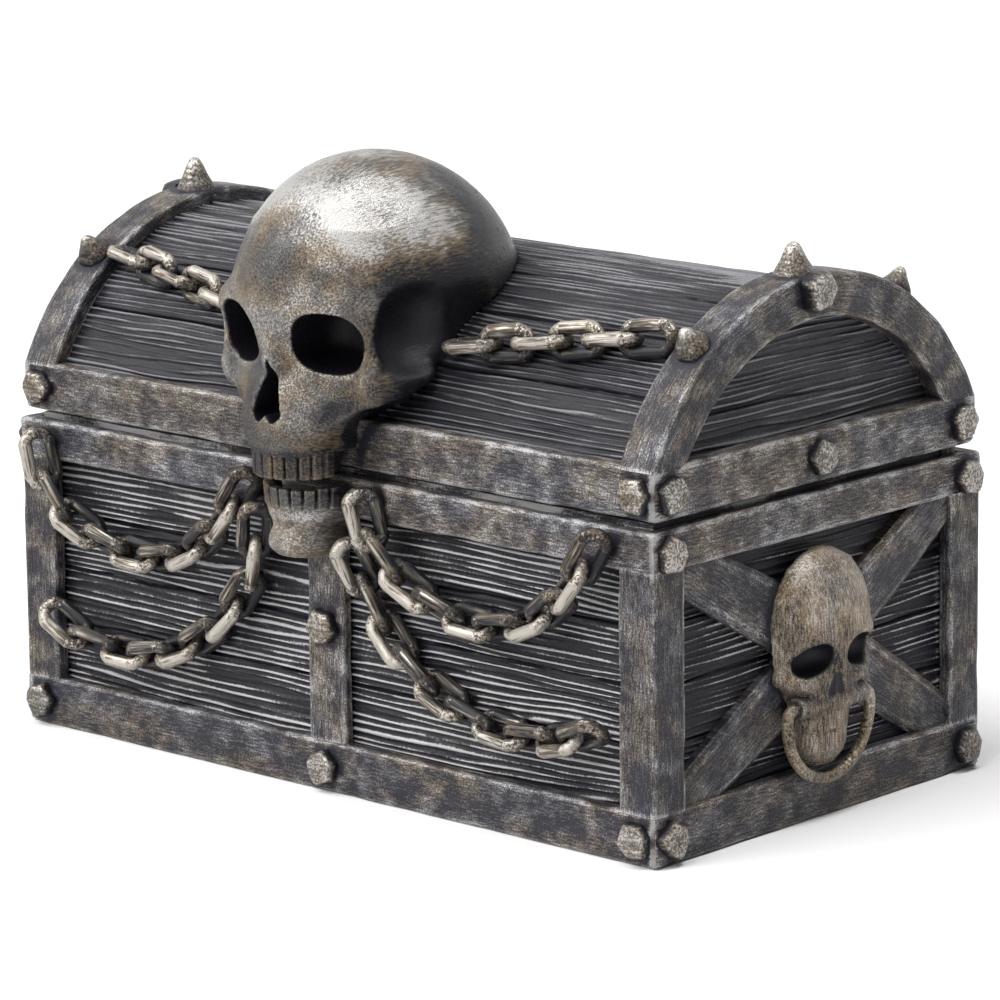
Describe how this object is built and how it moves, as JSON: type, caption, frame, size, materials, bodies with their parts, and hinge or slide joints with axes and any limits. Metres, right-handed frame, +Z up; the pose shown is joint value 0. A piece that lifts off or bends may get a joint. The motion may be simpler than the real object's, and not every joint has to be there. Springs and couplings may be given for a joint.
{
  "type": "treasure chest box",
  "caption": "Small barrel-lidded treasure chest box with strapped plank walls, a skull biting the rim, chain swags and end-skull ring pulls; the lid hinges open.",
  "frame": {"origin": "centre of the box's footprint, on the table", "axes": "+X along the width to the right as seen from the front, -Y out of the front, +Z up"},
  "size_m": [0.1598, 0.105, 0.1094],
  "materials": {
    "wood": "cast resin with deep wood grain, dark wash and pewter dry-brush",
    "strap": "cast resin strap, dark wash and bronze dry-brush on the edges",
    "bone": "cast resin, satin pewter and bronze over dark hollows",
    "chain": "cast resin, satin bronze dry-brush",
    "rivet": "cast resin, satin pale bronze dry-brush",
    "ring": "satin dark bronze",
    "hinge": "satin blackened",
    "hinge_pin": "brushed"
  },
  "bodies": {
    "base": {"back_centre_strap": "strap", "base_bottom_band": "strap", "base_rivets": "rivet", "base_shell": "wood", "base_top_band": "strap", "corner_post_back_left": "strap", "corner_post_back_right": "strap", "corner_post_front_left": "strap", "corner_post_front_right": "strap", "front_centre_strap": "strap", "front_chain_lower_left": "chain", "front_chain_lower_right": "chain", "front_chain_upper_left": "chain", "front_chain_upper_right": "chain", "hinge_base_screws": "hinge", "hinge_left_base_leaf": "hinge", "hinge_left_pin": "hinge_pin", "hinge_right_base_leaf": "hinge", "hinge_right_pin": "hinge_pin", "left_cross_brace": "strap", "left_skull_mask": "bone", "lower_jaw": "bone", "right_cross_brace": "strap", "right_skull_mask": "bone"},
    "lid": {"hinge_left_lid_leaf": "hinge", "hinge_lid_screws": "hinge", "hinge_right_lid_leaf": "hinge", "lid_band": "strap", "lid_chain_left": "chain", "lid_chain_right": "chain", "lid_hoop_left": "strap", "lid_hoop_right": "strap", "lid_rivets": "rivet", "lid_shell": "wood", "lid_studs": "rivet", "skull": "bone"},
    "right_ring": {"right_ring_pull": "ring"},
    "left_ring": {"left_ring_pull": "ring"}
  },
  "joints": [
    {"name": "lid_hinge", "type": "hinge", "parent": "base", "child": "lid", "pos_m": [0, 0.0452, 0.0568], "axis": [-1, 0, 0], "range_deg": [0, 100]},
    {"name": "right_ring_swing", "type": "hinge", "parent": "base", "child": "right_ring", "pos_m": [0.07635, 0, 0.0205], "axis": [0, -1, 0], "range_deg": [0, 70]},
    {"name": "left_ring_swing", "type": "hinge", "parent": "base", "child": "left_ring", "pos_m": [-0.07635, 0, 0.0205], "axis": [0, 1, 0], "range_deg": [0, 70]}
  ]
}
